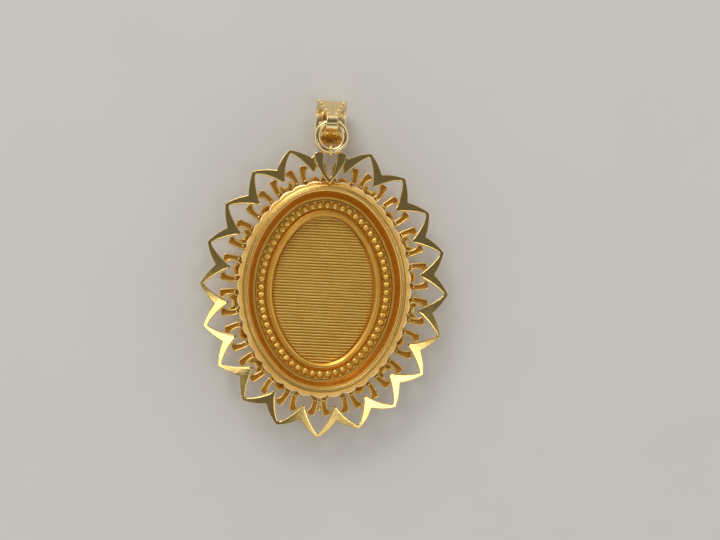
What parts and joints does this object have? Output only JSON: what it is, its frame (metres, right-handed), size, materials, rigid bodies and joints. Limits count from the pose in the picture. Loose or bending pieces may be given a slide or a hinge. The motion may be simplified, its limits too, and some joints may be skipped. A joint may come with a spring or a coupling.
{
  "type": "locket",
  "caption": "Oval open picture locket with a beaded inner frame, ribbed back panel, horseshoe brackets, pointed ray border, heart tab, jump ring and strap bail.",
  "frame": {"origin": "centre of the flat back face of the oval tray", "axes": "+Z out of the open face of the tray, +Y from the tray's centre towards the heart tab and the bail, +X to the right as the face is seen with the bail up"},
  "size_m": [0.0368, 0.0505, 0.0083],
  "materials": {
    "polished_gold": "bright polished yellow gold with fine scratches",
    "wall_gold": "satin deep yellow gold",
    "panel_gold": "satin ribbed gold, darker in the grooves",
    "bracket_gold": "reddish matte gold in the grooves, bright on the edges",
    "ring_gold": "pale polished gold"
  },
  "bodies": {
    "tray": {"back_plate": "polished_gold", "case_wall": "polished_gold", "panel_spacer": "wall_gold", "ribbed_panel": "panel_gold", "seat_ring": "wall_gold", "wall_liner": "wall_gold", "bezel_rim": "polished_gold", "scalloped_collar": "polished_gold", "gallery_ring": "wall_gold", "horseshoe_01": "bracket_gold", "horseshoe_02": "bracket_gold", "horseshoe_03": "bracket_gold", "horseshoe_04": "bracket_gold", "horseshoe_05": "bracket_gold", "horseshoe_06": "bracket_gold", "horseshoe_07": "bracket_gold", "horseshoe_08": "bracket_gold", "horseshoe_09": "bracket_gold", "horseshoe_10": "bracket_gold", "horseshoe_11": "bracket_gold", "horseshoe_12": "bracket_gold", "horseshoe_13": "bracket_gold", "horseshoe_14": "bracket_gold", "horseshoe_15": "bracket_gold", "horseshoe_16": "bracket_gold", "horseshoe_17": "bracket_gold", "horseshoe_18": "bracket_gold", "horseshoe_19": "bracket_gold", "horseshoe_20": "bracket_gold", "bottom_link": "wall_gold", "solder_beads": "polished_gold", "ray_frame": "polished_gold", "heart_tab": "polished_gold", "hanging_eye": "polished_gold"},
    "picture_frame": {"frame_channel": "wall_gold", "frame_beads": "wall_gold", "frame_inner_ring": "wall_gold"},
    "ring": {"jump_ring": "ring_gold"},
    "bail": {"bail_strap": "ring_gold", "bail_beads_left": "ring_gold", "bail_beads_right": "ring_gold"}
  },
  "joints": [
    {"name": "ring_swing", "type": "hinge", "parent": "tray", "child": "ring", "pos_m": [0, 0.02036, 0.007], "axis": [1, 0, 0], "range_deg": [-15, 120]},
    {"name": "bail_swing", "type": "hinge", "parent": "ring", "child": "bail", "pos_m": [0, 0.02454, 0.007], "axis": [1, 0, 0], "range_deg": [-6, 150]},
    {"name": "picture_frame_lift", "type": "slide", "parent": "tray", "child": "picture_frame", "axis": [0, 0, 1], "range_m": [0, 0.014]}
  ]
}
